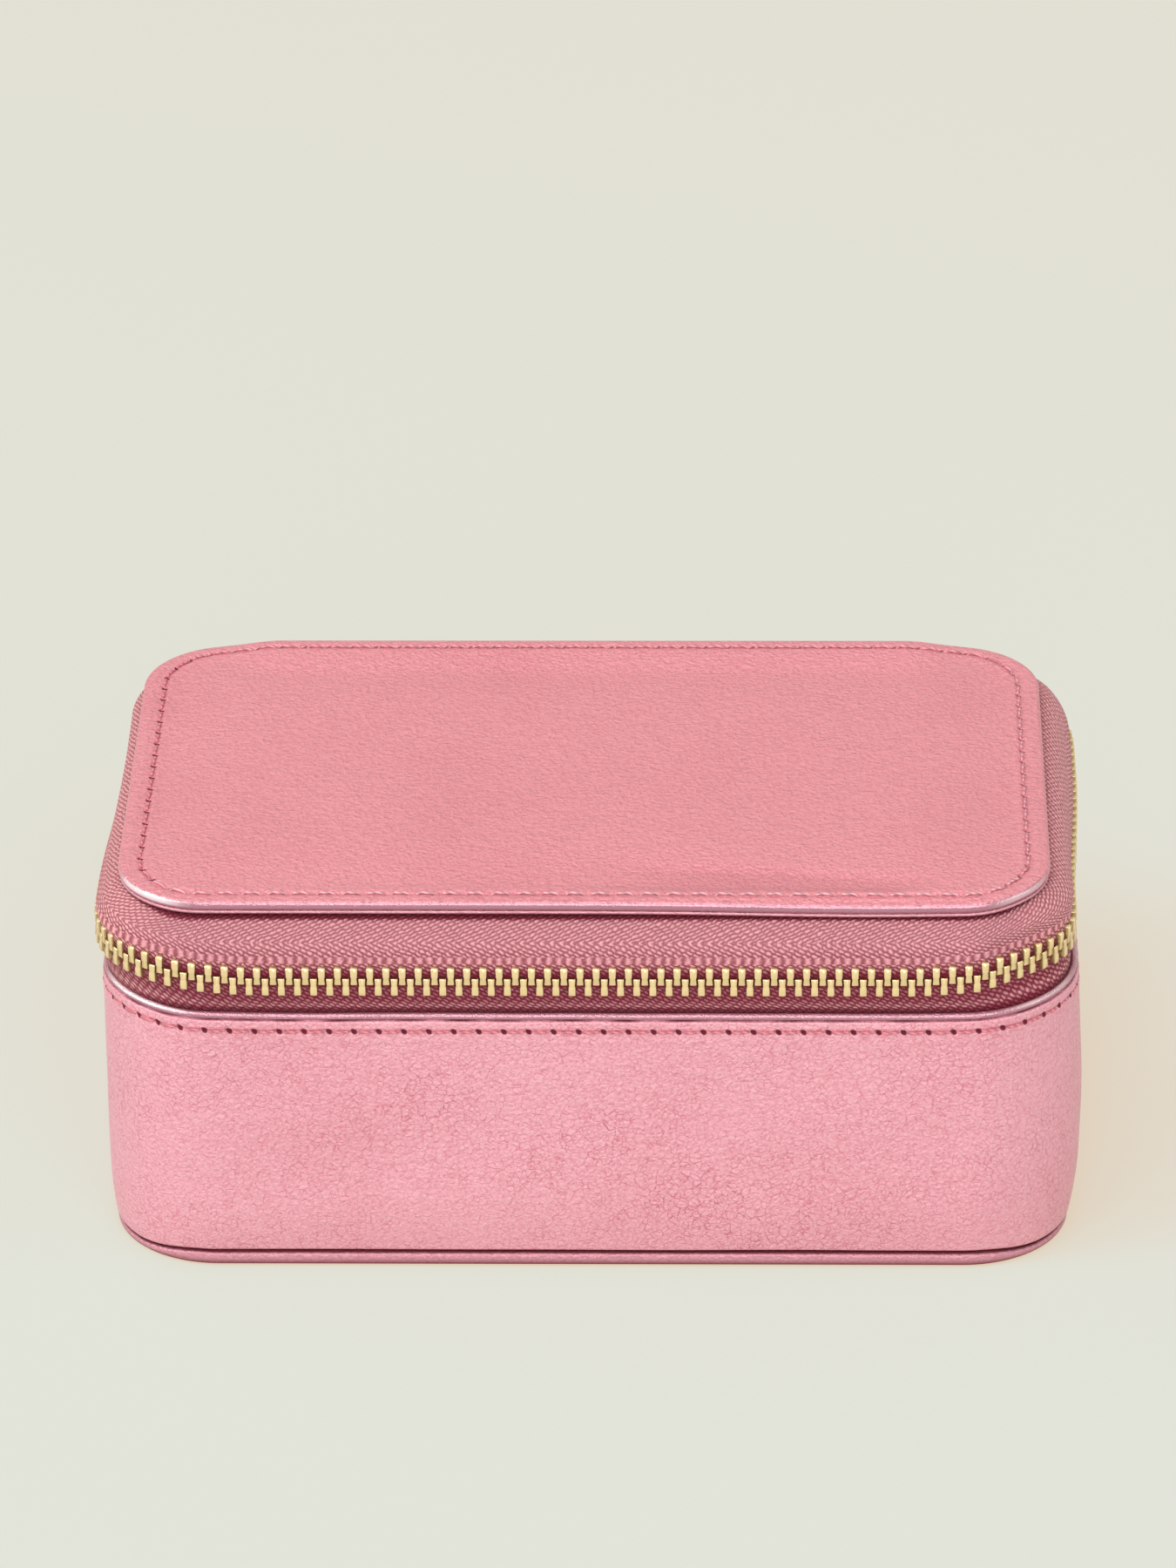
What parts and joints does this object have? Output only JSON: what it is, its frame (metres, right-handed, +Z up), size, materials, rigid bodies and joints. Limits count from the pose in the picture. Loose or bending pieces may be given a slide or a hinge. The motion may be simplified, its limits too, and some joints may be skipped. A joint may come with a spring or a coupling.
{
  "type": "jewelry box",
  "caption": "Rounded rectangular faux-leather jewelry box with a padded lid on a fabric hinge, closed by a metal zip, with ring rolls, trays and a lid mirror inside.",
  "frame": {"origin": "middle of the flat bottom face", "axes": "+X along the width to the right, +Y from the front to the hinge at the back, +Z up"},
  "size_m": [0.1605, 0.1034, 0.067],
  "materials": {
    "lid_skin": "pearl satin",
    "base_skin": "pearl satin",
    "zip_tape": "herringbone weave",
    "zip_metal": "polished",
    "thread": "twisted thread",
    "board": "matte",
    "foam": "open cell",
    "lining": "short pile",
    "mirror": "polished"
  },
  "bodies": {
    "base": {"bottom_cover": "base_skin", "bottom_board": "board", "base_wall_cover": "base_skin", "base_wall_board": "board", "base_wall_lining": "lining", "base_hem_stitches": "thread", "floor_pad": "lining", "ring_divider": "lining", "tray_divider": "lining", "zip_tape_lower": "zip_tape", "zip_tape_lower_ends": "zip_tape", "zip_teeth_lower": "zip_metal", "zip_teeth_lower_corners": "zip_metal", "hinge_strap": "base_skin", "ring_roll_1": "lining", "ring_roll_2": "lining", "ring_roll_3": "lining", "ring_roll_4": "lining", "ring_roll_5": "lining", "ring_roll_6": "lining"},
    "lid": {"lid_cover": "lid_skin", "lid_hem": "lid_skin", "lid_foam": "foam", "lid_board": "board", "lid_lining": "lining", "lid_mirror": "mirror", "mirror_bezel": "lid_skin", "lid_stitches": "thread", "zip_tape_upper": "zip_tape", "zip_tape_upper_ends": "zip_tape", "zip_teeth_upper": "zip_metal", "zip_teeth_upper_corners": "zip_metal"},
    "zip_slider": {"slider_body": "zip_metal", "slider_bridge": "zip_metal"},
    "zip_pull_tab": {"zip_pull": "zip_metal"}
  },
  "joints": [
    {"name": "lid_hinge", "type": "hinge", "parent": "base", "child": "lid", "pos_m": [0, 0.05, 0.055], "axis": [-1, 0, 0], "range_deg": [0, 105], "deforming": ["hinge_strap", "zip_tape_upper_ends", "zip_tape_lower_ends"]},
    {"name": "slider_travel", "type": "hinge", "parent": "base", "child": "zip_slider", "pos_m": [-0.061, 0.031, 0.054], "axis": [0, 0, 1], "range_deg": [0, 54], "deforming": ["zip_teeth_lower_corners", "zip_teeth_upper_corners"]},
    {"name": "pull_swing", "type": "hinge", "parent": "zip_slider", "child": "zip_pull_tab", "pos_m": [-0.06752, 0.05107, 0.05265], "axis": [0.9511, 0.309, 0], "range_deg": [0, 100]}
  ]
}
